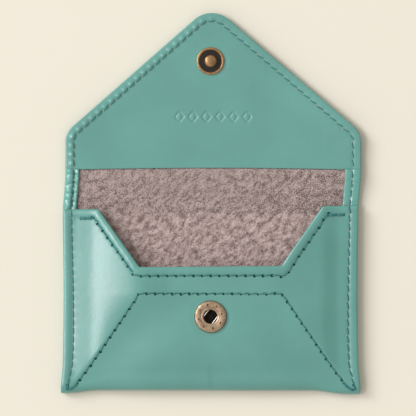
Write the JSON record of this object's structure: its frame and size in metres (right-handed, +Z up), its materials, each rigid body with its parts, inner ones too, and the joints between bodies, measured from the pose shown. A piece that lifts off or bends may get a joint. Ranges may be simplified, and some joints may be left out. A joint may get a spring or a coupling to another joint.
{
  "type": "card holder",
  "caption": "Envelope-style leather card holder with a stitched front pocket, a suede lining and a pointed flap that folds over and snaps shut.",
  "frame": {"origin": "middle of the outer face of the back panel, halfway between the bottom fold and the flap fold", "axes": "+Y towards the tip of the open flap, +Z up from the face it lies on, +X to the right"},
  "size_m": [0.106, 0.1351, 0.0084],
  "materials": {
    "leather": "smooth dyed leather, satin",
    "suede": "brushed pig suede, matt",
    "thread": "twisted polyester thread",
    "bright_brass": "polished",
    "antique_brass": "aged, darkened in the recesses",
    "spring_steel": "drawn wire",
    "stiffener": "raw"
  },
  "bodies": {
    "root": {"body_leather": "leather", "back_suede": "suede", "front_lining": "suede", "body_turned_edges": "leather", "front_patch": "stiffener", "side_seam_thread": "thread", "mouth_thread": "thread", "envelope_thread": "thread", "bar_tacks": "thread", "socket_case": "antique_brass", "socket_spring": "spring_steel", "socket_back": "antique_brass"},
    "fold_1": {"fold_leather_1": "leather", "fold_suede_1": "suede", "fold_edges_1": "leather", "fold_thread_1": "thread"},
    "fold_2": {"fold_leather_2": "leather", "fold_suede_2": "suede", "fold_edges_2": "leather", "fold_thread_2": "thread"},
    "flap": {"flap_leather": "leather", "flap_suede": "suede", "flap_turned_edges": "leather", "flap_lining": "leather", "flap_patch": "stiffener", "flap_thread": "thread", "stud": "bright_brass", "stud_cap": "antique_brass"}
  },
  "joints": [
    {"name": "fold_start", "type": "hinge", "parent": "root", "child": "fold_1", "pos_m": [0, 0.03123, 0.00097], "axis": [1, 0, 0], "range_deg": [0, 60]},
    {"name": "fold_middle", "type": "hinge", "parent": "fold_1", "child": "fold_2", "pos_m": [0, 0.03643, 0.00147], "axis": [1, 0, 0], "range_deg": [0, 60]},
    {"name": "flap_fold", "type": "hinge", "parent": "fold_2", "child": "flap", "pos_m": [0, 0.04163, 0.00197], "axis": [1, 0, 0], "range_deg": [0, 60]}
  ],
  "couplings": [
    {"joint": "fold_start", "follows": "flap_fold", "ratio": 1},
    {"joint": "fold_middle", "follows": "flap_fold", "ratio": 1}
  ]
}
